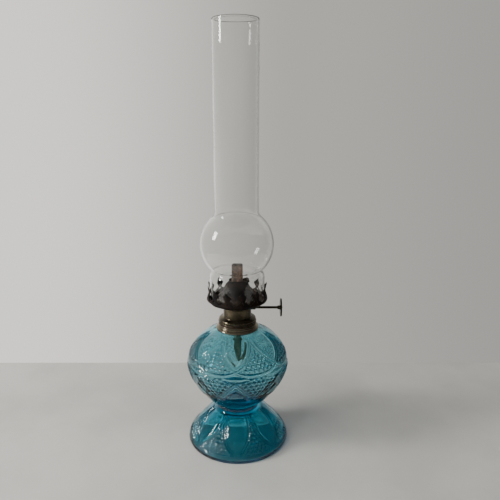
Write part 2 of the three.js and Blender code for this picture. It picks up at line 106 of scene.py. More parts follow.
GLASS_BLUE, GLASS_DENSITY = (0.0, 0.715, 0.82, 1), 105.0  # colour let through, density per metre
SOOT_BLACK = (0.005, 0.0045, 0.0048, 1)
TABLE_LIGHT, TABLE_WORN, TABLE_PAINTED_SHADE = (0.54, 0.53, 0.505, 1), (0.46, 0.455, 0.435, 1), (0.2, 0.2, 0.195, 1)
TABLE_BOX = (-480, 480, -375, 145)
TABLE_THICK, TABLE_GAP = 24, 0.1  # the gap keeps the foot clear of the table
SKY_LEFT, SKY_MIDDLE, SKY_RIGHT = (1.15, 1.12, 1.05, 1), (0.5, 0.485, 0.45, 1), (0.4, 0.39, 0.37, 1)
SKY_STRENGTH, SKY_FRONT, SKY_OVER, SKY_SIDES = 1.0, 0.15, 0.35, 0.32
LAMP_AIM = (0, 0, 0.14)  # in metres


# ------------------------------------------------------------------ meshes from grids


def put_mesh(name, verts, faces, body, replaced, material, sharp=None):
    """A finished piece from millimetre points and faces, which rides on a body and stands for frame nodes."""
    mesh = bpy.data.meshes.new(name)
    mesh.from_pydata((np.asarray(verts, float) * MM).tolist(), [], [f.tolist() for f in faces])
    mesh.validate()
    mesh.polygons.foreach_set("use_smooth", np.ones(len(mesh.polygons), bool))
    if sharp is not None:
        mesh.set_sharp_from_angle(angle=np.radians(sharp))
    piece = bpy.data.objects.new(name, mesh)
    bpy.context.scene.collection.objects.link(piece)
    mesh.materials.append(material)
    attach(piece, body)
    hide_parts(*replaced)
    return piece


def grid_faces(rows, cols, wrap_rows=False):
    """Four-cornered faces between neighbouring points of a grid whose columns go round, row by row."""
    i = np.arange(rows if wrap_rows else rows - 1)[:, None]
    j = np.arange(cols)[None, :]
    i1, j1 = (i + 1) % rows, (j + 1) % cols
    return np.stack([i * cols + j, i * cols + j1, i1 * cols + j1, i1 * cols + j], -1).reshape(-1, 4)


def turned_grid(line, cols, swell=None):
    """Points (row, column, xyz) of a line (radius, height) carried round the axis.

    The angle runs from the front towards +X: x = r sin a, y = -r cos a. swell(angles, line) adds a length
    along the line's outward normal to every point.
    """
    a = np.arange(cols)[None, :] * TAU / cols
    r, z = line[:, 0][:, None], line[:, 1][:, None]
    if swell is not None:
        along = np.gradient(line, axis=0)
        along /= np.maximum(np.linalg.norm(along, axis=1, keepdims=True), 1e-9)
        h = swell(np.degrees(a), line)
        r = r + along[:, 1][:, None] * h
        z = z - along[:, 0][:, None] * h
    r, z = r + 0 * a, z + 0 * a
    return np.stack([r * np.sin(a), -r * np.cos(a), z], -1)


def turned(line, cols, swell=None, ring=False):
    """Points and faces of a turned piece. The line runs with the solid on its left, so faces point outwards.

    A ring's line closes on itself. Any other line starts and ends on the axis, where a fan closes it.
    """
    if ring:
        grid = turned_grid(line, cols, swell)
        return grid.reshape(-1, 3), list(grid_faces(len(line), cols, wrap_rows=True))
    grid = turned_grid(line[1:-1], cols, swell).reshape(-1, 3)
    rows = len(line) - 2
    first, last = len(grid), len(grid) + 1
    poles = np.array([[0, 0, line[0, 1]], [0, 0, line[-1, 1]]])
    j = np.arange(cols)
    j1 = (j + 1) % cols
    start = np.stack([np.full(cols, first), j1, j], -1)
    top = (rows - 1) * cols
    end = np.stack([np.full(cols, last), top + j, top + j1], -1)
    return np.vstack([grid, poles]), [*grid_faces(rows, cols), *start, *end]


def about_x(verts):
    """Turns points made about Z so that Z becomes X, and moves them onto the spindle's axis."""
    return np.stack([verts[:, 2], verts[:, 0] + SPINDLE_Y, verts[:, 1] + SPINDLE_Z], -1)


# ------------------------------------------------------------------ lines


def smooth_line(points, step):
    """Points a step apart on the Catmull-Rom curve through the given ones."""
    p = np.array(points, float)
    p = np.vstack([2 * p[0] - p[1], p, 2 * p[-1] - p[-2]])
    t = np.linspace(0, 1, 24, endpoint=False)[:, None]
    parts = []
    for a, b, c, d in zip(p[:-3], p[1:-2], p[2:-1], p[3:]):
        bend = 2 * b + (c - a) * t + (2 * a - 5 * b + 4 * c - d) * t**2 + (3 * b - a - 3 * c + d) * t**3
        parts.append(bend / 2)
    curve = np.vstack([*parts, p[-2:-1]])
    return even(curve, step)


def lengths(line):
    """The length along a line up to each of its points."""
    return np.concatenate([[0], np.cumsum(np.linalg.norm(np.diff(line, axis=0), axis=1))])


def even(line, step):
    """The same line with its points a step apart, both ends kept."""
    s = lengths(line)
    at = np.linspace(0, s[-1], max(2, int(round(s[-1] / step)) + 1))
    return np.stack([np.interp(at, s, line[:, k]) for k in range(line.shape[1])], -1)


def joined(*lines):
    """Lines end to end, with a point that two of them share kept once."""
    out = [lines[0]]
    for line in lines[1:]:
        out.append(line[1:] if np.allclose(line[0], out[-1][-1]) else line)
    return np.vstack(out)


def arc_line(r, z, radius, start, end, steps, radius_z=None):
    """An arc about (r, z) from one angle to another, in degrees from +r towards +z."""
    a = np.radians(np.linspace(start, end, steps))
    return np.stack([r + radius * np.cos(a), z + (radius_z or radius) * np.sin(a)], -1)


def corner_cut(points, radius, steps=3):
    """A closed outline whose corners are rounded by a radius."""
    p = np.array(points, float)
    out = []
    for before, here, after in zip(np.roll(p, 1, 0), p, np.roll(p, -1, 0)):
        a, b = before - here, after - here
        ra = min(radius, np.linalg.norm(a) / 2)
        rb = min(radius, np.linalg.norm(b) / 2)
        a, b = here + a / np.linalg.norm(a) * ra, here + b / np.linalg.norm(b) * rb
        t = np.linspace(0, 1, steps + 1)[:, None]
        out.append((1 - t) ** 2 * a + 2 * t * (1 - t) * here + t**2 * b)
    return np.vstack(out)


def step_up(x, low, high):
    """0 below low, 1 above high, and a smooth rise between."""
    t = np.clip((x - low) / (high - low), 0, 1)
    return t * t * (3 - 2 * t)


def ridge(distance, width):
    """A rounded ridge of height 1 along distance 0."""
    return np.exp(-((distance / width) ** 2))


# ------------------------------------------------------------------ pressed glass


def glass_lines():
    """The outline of font and foot: hollow underside, rim, flare, waist, belly, neck and inside."""
    foot, top = glass.r, glass.z1
    hollow = smooth_line(
        [(0, 19.4), (8, 19.2), (17, 17.2), (25, 13.2), (32, 8), (37.5, 2.8), (39.6, 0.5)], 2.6
    )
    rest = np.array([(40.3, 0.0), (42.5, 0.0), (foot - 1.4, 0.0)])
    rim = smooth_line([(foot - 0.5, 0.4), (foot - 0.03, 1.6), (foot - 0.15, 3.4), (foot - 0.9, 4.7)], 0.8)
    flare = smooth_line(
        [
            (foot - 0.9, 4.7), (43.0, 7.0), (40.2, 10), (36.6, 15), (32.0, 20), (27.4, 25), (23.0, 28.6),
            (19.6, 31.2),
        ],
        0.68,
    )
    waist = smooth_line([(19.6, 31.2), (18.6, 33), (18.3, 35), (18.7, 37), (19.9, 38.8), (22.3, 40.4)], 0.9)
    bottom = smooth_line([(22.3, 40.4), (25.5, 42), (29.4, 45.8), (32.8, 50), (35.9, 54.4)], 1.3)
    belly = smooth_line(
        [(35.9, 54.4), (38.3, 58.5), (41.9, 66), (44.2, 73), (44.5, 77), (43.9, 81), (42.0, 88)], 0.62
    )
    shoulder = smooth_line(
        [(42.0, 88), (39.8, 92), (36.6, 96), (33.0, 99.4), (29.0, 102.4), (24.6, 105.4)], 0.72
    )
    seat = smooth_line([(24.6, 105.4), (21.6, 107.2), (19.4, SEAT_Z)], 1.2)
    neck = np.array([(NECK_R, SEAT_Z), (NECK_R, top - 0.4), (NECK_R - 0.4, top), (NECK_BORE + 0.4, top)])
    inside = smooth_line(
        [
            (NECK_BORE, top - 0.4), (NECK_BORE + 0.2, 107), (14.5, 104.4), (21, 101.8), (27.4, 98.4),
            (33.8, 93), (38.3, 86), (40.4, 79), (40.4, 73.3), (38.4, 67), (34.9, 60), (29.8, 53.4),
            (22.5, 48.4), (12, 46.1), (0, 45.6),
        ],
        2.7,
    )
    return joined(hollow, rest, rim, flare, waist, bottom, belly, shoulder, seat, neck, inside)


def edge_distance(across, edge, line):
    """Millimetres from a point to a curve whose angle from the sector's middle changes with height.

    across and edge are degrees, edge one value for each point of the line. The result is negative inside.
    """
    r = line[:, 0]
    s = lengths(line)
    half = np.radians(edge) * r
    lean = np.clip(np.gradient(half, s), -4, 4)
    return (np.radians(across) * r[:, None] - half[:, None]) / np.sqrt(1 + lean**2)[:, None]


def hobnails(across, s, line, pitch_deg, row, middle, size=0.44):
    """Rounded buttons of height 1 on a hexagonal net, in columns by angle and rows by length.

    A button's height is the square root of 1 - d^2, where d is the distance from its middle over its radius.
    """
    pitch = np.radians(pitch_deg) * line[:, 0][:, None]
    best = np.full(across.shape, 9.0)
    for shift in (0.0, 0.5):
        fx = (across - SECTOR / 2) / pitch_deg + shift
        fy = (s[:, None] - middle) / (2 * row) + shift
        dx = (fx - np.round(fx)) * pitch
        dy = (fy - np.round(fy)) * 2 * row
        best = np.minimum(best, np.hypot(dx, dy) / (size * pitch))
    return np.sqrt(np.clip(1 - best**2, 0, 1))


def font_pattern(across, s, line):
    """The font's relief: petals above, a swag at the belly, pointed arches below, and buttons between."""
    z = line[:, 1]
    half = SECTOR / 2
    petal = half * np.clip((z - 86.6) / 16.4, 0, 3) ** 0.75
    d_petal = edge_distance(across, petal, line)
    above = step_up(z, 86.0, 87.4)[:, None]
    swag_z = 82.2 + 3.6 * np.clip(1 - across / half, 0, 1) ** 2.4
    d_swag = z[:, None] - swag_z
    arch = half * np.clip((76.4 - z) / 22.2, 0, 3) ** 0.85
    d_arch = edge_distance(across, arch, line)
    panel = half * np.clip((68.4 - z) / 17.4, 0, 3) ** 0.85
    d_panel = edge_distance(across, panel, line)
    under = step_up(-z, -76.8, -75.6)[:, None]
    in_panel = step_up(-z, -68.8, -67.8)[:, None]

    h = above * (1.15 * ridge(d_petal - 0.6, 0.72) + 0.8 * ridge(d_petal + 1.7, 0.6))
    h += above * 0.8 * step_up(-d_petal, 2.6, 6.0)
    h += 1.1 * np.exp(-((d_swag / 1.3) ** 4))
    h += 0.7 * ridge(d_swag + 2.7, 0.55) * step_up(across, 10, 15)
    crossing = 76.2 + 1.6 * (across / 13.5)
    h += 0.8 * ridge(z[:, None] - crossing, 0.65) * step_up(-across, -15.5, -12)
    h += 0.9 * np.sqrt(np.clip(1 - (across / 12.5) ** 2 - ((z[:, None] - 80.2) / 1.7) ** 2, 0, 1))
    h += under * (1.15 * ridge(d_arch, 0.75) + 0.75 * ridge(d_arch + 2.1, 0.6))
    h += in_panel * 0.85 * step_up(-d_panel, -0.1, 0.8)
    field = above * step_up(d_petal, 1.4, 2.0) * step_up(d_swag, 1.5, 2.1)
    field = field + (1 - above) * step_up(d_swag, 1.5, 2.1)
    low_field = under * step_up(d_arch, 1.1, 1.7) + (1 - under) * step_up(across, 14, 16)
    field = field + low_field * step_up(-d_swag, 3.0, 3.6) * step_up(z, 55.0, 56.4)[:, None]
    h += 1.35 * np.clip(field, 0, 1) * hobnails(across, s, line, SECTOR / 9, 3.6, 0.0)
    return h * (step_up(z, 54.6, 55.6) * step_up(-z, -106.4, -104.2))[:, None]


def foot_pattern(across, s, line):
    """The foot's relief: broad petals with their points down, and buttons in the corners between them."""
    z = line[:, 1]
    petal = SECTOR / 2 * np.clip((z - 6.4) / 19.6, 0, 3) ** 0.5
    d = edge_distance(across, petal, line)
    above = step_up(z, 6.1, 7.1)[:, None]
    h = above * (1.3 * ridge(d - 0.5, 0.72) + 0.9 * ridge(d + 1.8, 0.6))
    h += above * 0.8 * step_up(-d, 2.6, 5.0)
    field = (above * step_up(d, 1.2, 1.8) + (1 - above)) * step_up(z, 5.9, 6.5)[:, None]
    h += 1.5 * np.clip(field, 0, 1) * hobnails(across, s, line, SECTOR / 9, 3.3, 0.4, 0.5)
    h += 0.7 * ridge(z - 5.1, 0.5)[:, None]
    return h * (step_up(z, 3.9, 4.6) * step_up(-z, -30.4, -28.6))[:, None]


def pressed_relief(angle, line):
    """The pressing's relief on its outer side: the foot's pattern below the waist, the font's above."""
    r, z = line[:, 0], line[:, 1]
    across = np.abs((angle - PATTERN_TURN + SECTOR / 2) % SECTOR - SECTOR / 2) + 0 * r[:, None]
    s = lengths(line)
    rim = int(np.argmax(r >= glass.r - 0.2))
    seat = int(np.argmax(z > SEAT_Z - 1.2))
    h = np.zeros(across.shape)
    outer = slice(rim, seat)
    waist = rim + int(np.argmin(r[outer]))
    foot, font = slice(rim, waist), slice(waist, seat)
    h[foot] = foot_pattern(across[foot], s[foot] - s[rim], line[foot])
    h[font] = font_pattern(across[font], s[font] - s[waist], line[font])
    return np.minimum(h, RELIEF_MOST)


def make_glass_body(material):
    """Font and foot in one pressing. Each point keeps its relief and how steep it is; the glass's tint uses
    them for painted light on the raised relief and painted shade on its steep flanks.

    The steepness is the relief's rise for each millimetre along the outline and round the axis together.
    """
    line, cols = glass_lines(), SECTORS * 56
    verts, faces = turned(line, cols, pressed_relief)
    piece = put_mesh("pressed_glass_font_and_foot", verts, faces, "font",
                     ["glass_font_and_foot"], material)
    line = line[1:-1]
    h = pressed_relief(np.arange(cols)[None, :] * 360 / cols, line)
    s = lengths(line)
    round_step = np.maximum(line[:, 0], 1)[:, None] * TAU / cols
    across = (np.roll(h, -1, 1) - np.roll(h, 1, 1)) / (2 * round_step)
    steep = np.hypot(np.gradient(h, s, axis=0), across)
    for name, values in (("steep", steep), ("relief", h)):
        mark = piece.data.attributes.new(name, "FLOAT", "POINT")
        mark.data.foreach_set("value", np.concatenate([values.reshape(-1), [0, 0]]))


# ------------------------------------------------------------------ chimney


def make_chimney(material):
    """Straight fitter, soft crease, ball and long stack, with a wall of even thickness along the outline."""
    low, high = chimney.z0, chimney.z1
    ball, stack = chimney.r, STACK_R
    ball_z = low + 49.5
    start, end = -43.5, 51.2
    first = ball * np.cos(np.radians(start)), ball_z + ball * np.sin(np.radians(start))
    last = ball * np.cos(np.radians(end)), ball_z + ball * np.sin(np.radians(end))
    fitter = smooth_line(
        [(FITTER_R, low + 0.6), (FITTER_R, low + 12), (FITTER_R, low + 19.5), (23.85, low + 21.6),
         (23.15, low + 23.4), (22.25, low + 24.7), (21.85, low + 25.7), (22.1, low + 26.6), first], 0.55)
    bulb = arc_line(0, ball_z, ball, start, end, 60)
    pipe = smooth_line([last, (stack + 0.55, last[1] + 1.2), (stack + 0.08, last[1] + 3.0),
                        (stack, last[1] + 6), (stack, last[1] + 22), (stack, high - 0.8)], 1.6)
    outside = joined(fitter, bulb, pipe)
    along = np.gradient(outside, axis=0)
    along /= np.linalg.norm(along, axis=1, keepdims=True)
    inside = outside + np.stack([-along[:, 1], along[:, 0]], -1) * CHIMNEY_WALL
    lip = np.array([(stack - 0.35, high), (stack - CHIMNEY_WALL + 0.35, high)])
    foot = np.array([(FITTER_R - CHIMNEY_WALL + 0.4, low), (FITTER_R - 0.4, low)])
    line = np.vstack([outside, lip, inside[::-1], foot])

    def drawn(angle, points):
        """Slow waves of a few hundredths of a millimetre that drawn glass keeps."""
        a, z = np.radians(angle), points[:, 1][:, None]
        wave = np.sin(2 * a + z * 0.021) + 0.6 * np.sin(3 * a - z * 0.034 + 1.3) + 0.5 * np.sin(z * 0.11 + a)
        return 0.035 * wave * step_up(z, low, low + 8) * step_up(-z, -high, 8 - high)

    verts, faces = turned(line, 144, drawn, ring=True)
    put_mesh("blown_chimney", verts, faces, "chimney", ["chimney"], material)


# ------------------------------------------------------------------ turned metal and small rings


def make_collar(material):
    """Collar cemented on the neck: a big bead, a groove, a smaller bead and a plain lip."""
    z0, z1, r = collar.z0, collar.z1, collar.r
    line = np.vstack([
        [(15.9, z0), (r - 1.5, z0)],
        arc_line(r - 1.25, z0 + 1.3, 1.25, -80, 70, 12),
        [(r - 1.5, z0 + 2.65)],
        arc_line(r - 2.35, z0 + 3.65, 0.95, -60, 80, 10),
        [(r - 2.6, z0 + 4.8)],
        arc_line(r - 2.5, z1 - 0.42, 0.42, -40, 90, 6),
        [(15.9, z1), (15.8, z1 - 0.3), (15.8, z0 + 0.3)],
    ])
    verts, faces = turned(line, 144, ring=True)
    put_mesh("brass_collar", verts, faces, "font", ["collar"], material)


def make_burner_base(material):
    """Screw skirt with three rolled threads, a domed flange with a beaded edge, and the straight barrel."""
    skirt, z0 = 15.3, base.z0
    flange_z, top = washer.z1 + 0.3, base.z1
    r, barrel = base.r, BARREL_R
    shoulder = flange_z + 4.6
    round_thread = np.linspace(0, 3 * TAU, 40)
    threads = np.stack([skirt - 0.35 + 0.35 * np.cos(round_thread),
                        z0 + (flange_z - z0) * round_thread / (3 * TAU)], -1)
    outside = joined(
        threads,
        np.array([(skirt, flange_z), (r - 0.5, flange_z)]),
        arc_line(r - 0.65, flange_z + 0.65, 0.65, -80, 100, 10),
        smooth_line([(r - 0.75, flange_z + 1.4), (r - 0.55, flange_z + 1.8), (r - 0.5, flange_z + 2.7),
                     (r - 1.1, flange_z + 3.5), (r - 2.4, flange_z + 4.0), (barrel + 1.0, flange_z + 4.35),
                     (barrel + 0.25, shoulder + 0.1), (barrel, shoulder + 0.8)], 0.3),
        np.array([(barrel, top - 6), (barrel, top - 0.2), (barrel - 0.2, top)]),
    )
    inside = joined(
        np.array([(barrel - SHEET, top), (barrel - SHEET, shoulder + 0.2)]),
        smooth_line([(barrel - SHEET, shoulder + 0.2), (barrel + 0.6, shoulder - 0.85),
                     (r - 2.4, flange_z + 3.2), (r - 1.3, flange_z + 2.2), (r - 1.4, flange_z + 0.8)], 0.5),
        np.array([(skirt - SHEET, flange_z + SHEET), (skirt - 0.7 - SHEET, z0)]),
    )
    verts, faces = turned(np.vstack([outside, inside]), 144, ring=True)
    put_mesh("burner_base_shell", verts, faces, "burner", ["burner_base"], material)


def make_ring(name, extent, bore, body, node, material):
    """A flat ring with rounded corners, lying level."""
    outline = [(bore, extent.z0), (extent.r, extent.z0), (extent.r, extent.z1), (bore, extent.z1)]
    verts, faces = turned(corner_cut(outline, 0.2), 120, ring=True)
    put_mesh(name, verts, faces, body, [node], material)


def make_sleeve(name, extent, bore, body, node, material):
    """A short sleeve about the spindle, with rounded ends."""
    r = (extent.z1 - extent.z0) / 2
    outline = [(bore, extent.x0), (r, extent.x0), (r, extent.x1), (bore, extent.x1)]
    verts, faces = turned(corner_cut(outline, 0.3), 48, ring=True)
    put_mesh(name, about_x(verts), faces, body, [node], material)


def make_spindle(material):
    """A drawn rod with a turned-down inner end and a riveted head outside the thumbwheel."""
    x0, x1, r = spindle.x0, spindle.x1, SPINDLE_R
    line = joined(
        np.array([(0, x0), (r - 0.3, x0), (r, x0 + 0.4), (r, 12.0)]),
        even(np.array([(r, 12.0), (r, x1 - 0.9)]), 2.4),
        arc_line(0, x1 - 0.9, r, 0, 90, 7, radius_z=0.9),
    )
    verts, faces = turned(line, 40)
    put_mesh("spindle_rod", about_x(verts), faces, "raiser", ["spindle"], material)


def make_thumbwheel(material):
    """A stamped disc: milled edge, raised rim, sunk web with a ring of dimples, and a cone-shaped hub."""
    r, x0, x1 = (wheel.z1 - wheel.z0) / 2, wheel.x0, wheel.x1
    face, bore = x1 - 1.4, SPINDLE_R + SPINDLE_FIT
    line = np.vstack([
        [(bore, x0 + 0.1), (1.5, x0), (1.65, x0 + 0.3), (1.85, face - 0.6), (2.5, face + 0.25)],
        even(np.array([(2.5, face + 0.25), (r - 1.7, face + 0.25)]), 0.5)[1:],
        [(r - 1.3, face), (r - 0.4, face), (r, face + 0.3), (r, x1 - 0.3), (r - 0.4, x1), (r - 1.3, x1)],
        even(np.array([(r - 1.7, x1 - 0.3), (2.6, x1 - 0.3)]), 0.5),
        [(2.2, x1 - 0.05), (bore, x1 - 0.05)],
    ])

    def milled(angle, points):
        """Notches round the edge, deepest at full radius, and dimples on the sunk web."""
        at, reach = np.radians(angle), points[:, 0][:, None]
        notch = -0.42 * (0.5 + 0.5 * np.cos(32 * at)) ** 2 * step_up(reach, r - 0.35, r - 0.1)
        dimple = -0.16 * (0.5 + 0.5 * np.cos(12 * at)) ** 2 * ridge(reach - 4.9, 0.7)
        return notch + dimple

    verts, faces = turned(line, 192, milled, ring=True)
    put_mesh("milled_thumbwheel", about_x(verts), faces, "raiser", ["thumbwheel"], material)


def make_ratchet_wheel(node, material):
    """A wheel of twelve leaning teeth: the radius drops evenly round each tooth and jumps back."""
    extent = ratchets[node]
    r, bore = (extent.z1 - extent.z0) / 2, SPINDLE_R + SPINDLE_FIT
    outline = [(bore, extent.x0), (r - 0.02, extent.x0), (r - 0.02, extent.x1), (bore, extent.x1)]

    def teeth(angle, points):
        """How far the edge is drawn in, by the place within a tooth of 30 degrees."""
        turn, reach = (angle / 30.0) % 1.0, points[:, 0][:, None]
        return -0.95 * np.minimum(turn * 1.25, (1 - turn) * 5) * step_up(reach, r - 1.2, r - 0.4)

    verts, faces = turned(corner_cut(outline, 0.12, 2), 240, teeth, ring=True)
    name = node.replace("wheel", "teeth")
    put_mesh(name, about_x(verts), faces, "raiser", [node], material, sharp=40)


# ------------------------------------------------------------------ gallery and cone


def prong_half(y, height, pitch):
    """Half the width of a prong at a height above the rim, smooth through root, waist, leaf and tip."""
    outline = smooth_line(
        [(0.0, pitch), (0.09, 6.0), (0.18, 4.3), (0.27, 2.6), (0.35, 2.0), (0.43, 2.5), (0.52, 3.5),
         (0.61, 4.05), (0.7, 3.75), (0.79, 2.6), (0.87, 1.5), (0.94, 0.8), (1.0, 0.25)], 0.02)
    return np.interp(np.clip(y / height, 0, 1), outline[:, 0], outline[:, 1])


def gallery_field(x, y, height, pitch):
    """Negative on the sheet, positive where it is cut away, in millimetres.

    What is cut away is the gap between prongs and the oval hole at each prong's foot. x runs round from a
    prong's middle and y up from the rim, both along the sheet.
    """
    gaps = np.where(y > -0.2, np.abs(x) - prong_half(y, height, pitch), -3.0)
    gaps = np.maximum(gaps, y - height)
    drop = 0.95 - np.hypot(x, (y - 2.2) / 1.35)
    return np.maximum(gaps, drop)


def make_gallery(material):
    """Bowl and prongs from one sheet: a line out to the rim and up the prongs, carried round the axis.

    The sheet is a grid of angle and length along that line. Points just outside the cut-away field are drawn
    back onto its edge, faces beyond them are left out, and each prong leans and turns a little by itself.
    """
    g, z0, tip_z = RIM_R, gallery.z0, gallery.z1
    rim_z = z0 + 4.8
    belly = 25.1
    bowl = smooth_line([(12.85, z0 + 0.1), (18.0, z0 + 0.25), (22.4, z0 + 0.8), (24.8, z0 + 1.8),
                        (26.1, z0 + 3.1), (g - 0.05, z0 + 4.2), (g, rim_z)], 0.55)
    prong = smooth_line([(g, rim_z), (g - 0.35, rim_z + 1.8), (belly + 0.5, rim_z + 3.6),
                         (belly + 0.15, rim_z + 6.2), (belly + 0.5, rim_z + 8.6), (belly + 1.2, tip_z)], 0.42)
    line = joined(bowl, prong)
    along = lengths(line) - lengths(bowl)[-1]
    y = along[:, None]
    height = y[-1, 0]
    cols = PRONGS * 34
    angle = (np.arange(cols) * 360 / cols)[None, :]
    which = np.round((angle - 90 - PRONG_TURN) * PRONGS / 360).astype(int) % PRONGS
    spread = 360 / PRONGS
    turn = (angle - 90 - PRONG_TURN + spread / 2) % spread - spread / 2
    pitch = np.pi * g / PRONGS
    x = turn / spread * 2 * pitch + 0 * y
    y = y + 0 * x

    # Points near the cut edge move onto it, along the field's slope over a small step e.
    e = 0.02
    for _ in range(2):
        f = gallery_field(x, y, height, pitch)
        fx = (gallery_field(x + e, y, height, pitch) - f) / e
        fy = (gallery_field(x, y + e, height, pitch) - f) / e
        near = (f > 0) & (f < 0.62)
        size = np.maximum(fx**2 + fy**2, 0.3)
        x = np.where(near, x - f * fx / size, x)
        y = np.where(near, np.clip(y - f * fy / size, along[0], height), y)
    kept = gallery_field(x, y, height, pitch) < 0.12

    rng = np.random.default_rng(7)
    lean = rng.uniform(-0.5, 1.0, PRONGS)[which]
    sway = rng.uniform(-1.1, 1.1, PRONGS)[which]
    up = np.clip(y, 0, None) / height
    r = np.interp(y, along, line[:, 0])
    z = np.interp(y, along, line[:, 1])
    vein = 0.32 * ridge(x, 0.55) * step_up(up, 0.3, 0.45) * (1 - step_up(up, 0.8, 0.95))
    cup = -0.5 * (x / 3.8) ** 2 * step_up(up, 0.25, 0.5)
    swell = 0.35 * np.cos(np.pi * x / pitch) * ridge(y + 3.0, 2.2) + 0.3 * ridge(y + 0.5, 0.5)
    dents = ridge(np.hypot(np.abs(x) - pitch * 0.55, y + 1.7), 0.7) + ridge(np.hypot(x, y + 4.2), 1.0)
    swell -= 0.4 * dents
    r = r + np.clip(lean, -0.3, 1) * up**2 + vein + cup + swell
    z = z - 0.25 * np.abs(lean) * up**2
    a = np.radians(angle) + (x - turn / spread * 2 * pitch) / g + sway * up**1.5 / g
    verts = np.stack([r * np.sin(a), -r * np.cos(a), z], -1).reshape(-1, 3)

    faces = grid_faces(len(line), cols)
    flat = kept.reshape(-1)
    faces = faces[flat[faces].all(1)]
    used = np.unique(faces)
    number = np.full(len(verts), -1)
    number[used] = np.arange(len(used))
    piece = put_mesh("pronged_gallery", verts[used], number[faces], "burner", ["gallery"],
                     material)
    thicken(piece, 0.5)


def thicken(piece, thickness):
    """Gives a sheet its thickness inwards, with rims."""
    solid = piece.modifiers.new("sheet", "SOLIDIFY")
    solid.thickness = thickness * MM
    solid.offset = -1
    solid.use_even_offset = False


def make_cone(material):
    """Flame cone: a dome that is a circle below and draws in to the wick's slot at the top.

    Each ring is a rounded oval. Its half width comes from the side line, its half depth is the slot's at the
    top and reaches the half width a third of the way down, and its corners go from square to round.
    """
    z0, z1, r = cone.z0, cone.z1, cone.r
    cols = 144
    a = np.arange(cols)[None, :] * TAU / cols
    side = smooth_line([(6.1, z1 - 0.75), (6.2, z1 - 0.2), (6.9, z1 - 0.25), (8.3, z1 - 1.2),
                        (10.3, z1 - 3.6), (12.0, z1 - 6.6), (13.4, z1 - 9.4), (15.2, z0 + 5.2),
                        (17.2, z0 + 2.9), (18.3, z0 + 1.8), (19.2, z0 + 1.0), (r - 0.1, z0 + 0.6),
                        (r - 0.1, z0)], 0.45)
    wide = np.maximum.accumulate(side[:, 0])[:, None]
    share = step_up(wide, 6.3, 11.6)
    deep = 2.2 + (wide - 2.2) * share
    power = 0.3 + 0.7 * np.sqrt(share)
    c, n = np.cos(a), np.sin(a)
    x = wide * np.sign(c) * np.abs(c) ** power
    y = deep * np.sign(n) * np.abs(n) ** power
    dip = 0.4 * ridge(side[:, 1] - (z0 + 4.2), 0.7)
    crimp = 0.16 * np.cos(36 * a) * ridge(side[:, 1] - (z0 + 2.2), 1.2)[:, None]
    z = (side[:, 1] - dip)[:, None] + crimp
    verts = np.stack([x, y, z], -1).reshape(-1, 3)
    faces = grid_faces(len(side), cols)[:, ::-1]
    piece = put_mesh("flame_cone", verts, faces, "burner", ["cone"], material)
    thicken(piece, SHEET)


# ------------------------------------------------------------------ wick


def make_wick(material):
    """A flat braided tape: a rounded bar's section, carried from the tail in the font to the flame end.

    The edges draw in to a slanting point at the tail. Below the tube the tape is narrower, turns a little and
    waves. Rows and ribs of the braid stand out by a tenth of a millimetre.
    """
    low, high, half, thick = wick.z0, wick.z1, wick.x1, wick.y1
    rows, cols = 330, 88
    z = np.linspace(low, high, rows)
    hang = 1 - step_up(z, tube.z0 - 16, tube.z0 - 8)
    left = -half + (half + 0.8) * np.clip(1 - (z - low) / 17, 0, 1) ** 1.25
    right = half - (half - 0.8) * np.clip(1 - (z - low) / 10, 0, 1) ** 1.25
    left = left * (1 - 0.32 * hang) + 0.9 * np.clip((z - high + 2.4) / 2.4, 0, 1) ** 2
    left += 0.9 * np.clip((z - high + 1.0) / 1.0, 0, 1)
    right = right * (1 - 0.32 * hang) - 0.8 * np.clip((z - high + 1.1) / 1.1, 0, 1) ** 2
    t = np.arange(cols) * TAU / cols
    c, n = np.cos(t), np.sin(t)
    flat = np.sign(c) * np.abs(c) ** 0.35
    deep = np.sign(n) * np.abs(n) ** 0.5
    mid, wide = (left + right)[:, None] / 2, (right - left)[:, None] / 2
    x = mid + wide * flat[None, :]
    thin = np.clip((z - low) / 3, 0.15, 1) * np.clip((high - z) / 0.5 + 0.35, 0, 1)
    y = (thick - 0.12) * thin[:, None] * deep[None, :]
    braid = 0.11 * np.sin(TAU * z[:, None] / BRAID_ROW + np.pi * np.round(x / BRAID_RIB)) * np.abs(deep)
    rib = 0.06 * np.cos(TAU * x / BRAID_RIB)
    y = y + np.sign(deep)[None, :] * (braid + rib) * thin[:, None]
    turn = np.radians(16) * hang[:, None] * np.clip((tube.z0 - z) / 30, 0, 1)[:, None]
    wave = 0.8 * hang * np.sin((tube.z0 - z) / 9.0)
    verts = np.stack([x * np.cos(turn) - y * np.sin(turn),
                      x * np.sin(turn) + y * np.cos(turn) + wave[:, None], z[:, None] + 0 * x], -1)
    last_row = (rows - 1) * cols
    faces = [*grid_faces(rows, cols), np.arange(cols)[::-1], np.arange(cols) + last_row]
    put_mesh("braided_wick", verts.reshape(-1, 3), faces, "wick", ["wick"], material)


# ------------------------------------------------------------------ node helpers


